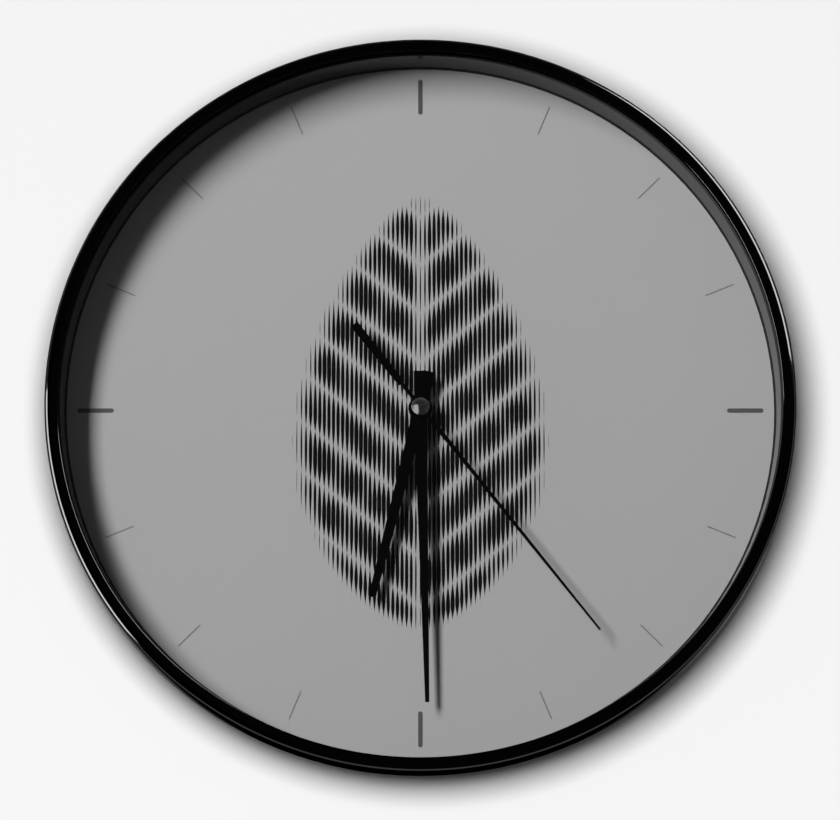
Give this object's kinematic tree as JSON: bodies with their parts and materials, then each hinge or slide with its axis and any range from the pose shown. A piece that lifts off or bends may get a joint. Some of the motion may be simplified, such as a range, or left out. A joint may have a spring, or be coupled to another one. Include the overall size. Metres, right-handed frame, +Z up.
{
  "type": "wall clock",
  "caption": "Round battery wall clock: rounded black rim, clear lens, grey dial with bar marks, straight black hands driven through a geared quartz movement.",
  "frame": {"origin": "centre of the hanger hole at its back face, in the plane of the wall", "axes": "+Z up towards twelve o'clock, +Y into the wall, so the dial faces -Y"},
  "size_m": [0.254, 0.0376, 0.254],
  "materials": {
    "bezel_black": "glossy black moulding",
    "case_black": "satin black moulding",
    "lens_clear": "clear, polished",
    "seal_black": "matte",
    "spacer_black": "glossy black moulding",
    "dial_print": "matte grey print",
    "hand_black": "black lacquer, satin",
    "cap_silver": "satin silver",
    "shell_black": "fine moulded grain",
    "inner_white": "natural moulding",
    "arbor_brass": "turned",
    "rotor_ferrite": "sintered, dark",
    "iron_plate": "stamped",
    "copper_wire": "enamelled copper wire",
    "contact_steel": "nickel plated strip",
    "board_green": "solder mask",
    "chip_black": "cast drop",
    "battery_jacket": "printed sleeve over a steel can"
  },
  "bodies": {
    "case": {"rear_case": "case_black", "front_bezel": "bezel_black", "lens": "lens_clear", "lens_seal": "seal_black", "spacer_ring": "spacer_black", "dial_gasket": "seal_black", "dial_plate": "dial_print", "movement_base": "shell_black", "movement_cover": "shell_black", "middle_plate": "inner_white", "circuit_board": "board_green", "driver_chip": "chip_black", "quartz_crystal": "contact_steel", "coil_bobbin": "inner_white", "coil_winding": "copper_wire", "coil_core": "iron_plate", "stator": "iron_plate", "contact_positive": "contact_steel", "contact_negative": "contact_steel"},
    "seconds": {"seconds_wheel": "inner_white", "second_hand": "hand_black", "second_hand_cap": "cap_silver"},
    "intermediate": {"intermediate_wheel": "inner_white"},
    "rotor": {"rotor": "rotor_ferrite"},
    "third": {"third_wheel": "inner_white"},
    "minutes": {"centre_wheel": "inner_white", "minute_arbor": "arbor_brass", "minute_hand": "hand_black"},
    "motion_work": {"minute_wheel": "inner_white"},
    "hours": {"hour_wheel": "inner_white", "hour_hand": "hand_black"},
    "knob": {"setting_knob": "shell_black"},
    "cell": {"battery": "battery_jacket"}
  },
  "joints": [
    {"name": "second_hand_turn", "type": "hinge", "parent": "case", "child": "seconds", "pos_m": [0, 0, -0.104], "axis": [0, 1, 0], "continuous": true},
    {"name": "intermediate_turn", "type": "hinge", "parent": "case", "child": "intermediate", "pos_m": [0.0058, 0, -0.09395], "axis": [0, 1, 0], "continuous": true},
    {"name": "rotor_turn", "type": "hinge", "parent": "case", "child": "rotor", "pos_m": [0.01407, 0, -0.0925], "axis": [0, 1, 0], "continuous": true},
    {"name": "third_turn", "type": "hinge", "parent": "case", "child": "third", "pos_m": [-0.00998, 0, -0.09824], "axis": [0, 1, 0], "continuous": true},
    {"name": "minute_hand_turn", "type": "hinge", "parent": "case", "child": "minutes", "pos_m": [0, 0, -0.104], "axis": [0, 1, 0], "continuous": true},
    {"name": "motion_work_turn", "type": "hinge", "parent": "case", "child": "motion_work", "pos_m": [-0.00846, 0, -0.10708], "axis": [0, 1, 0], "continuous": true},
    {"name": "hour_hand_turn", "type": "hinge", "parent": "case", "child": "hours", "pos_m": [0, 0, -0.104], "axis": [0, 1, 0], "continuous": true},
    {"name": "knob_turn", "type": "hinge", "parent": "case", "child": "knob", "pos_m": [-0.01691, 0, -0.11016], "axis": [0, 1, 0], "continuous": true},
    {"name": "battery_slide", "type": "slide", "parent": "case", "child": "cell", "axis": [0, 1, 0], "range_m": [0, 0.022]}
  ],
  "couplings": [
    {"joint": "intermediate_turn", "follows": "second_hand_turn", "ratio": -5},
    {"joint": "rotor_turn", "follows": "second_hand_turn", "ratio": 30},
    {"joint": "third_turn", "follows": "second_hand_turn", "ratio": -0.13333},
    {"joint": "minute_hand_turn", "follows": "second_hand_turn", "ratio": 0.016667},
    {"joint": "motion_work_turn", "follows": "second_hand_turn", "ratio": -0.0055556},
    {"joint": "hour_hand_turn", "follows": "second_hand_turn", "ratio": 0.0013889},
    {"joint": "knob_turn", "follows": "second_hand_turn", "ratio": 0.016667}
  ]
}
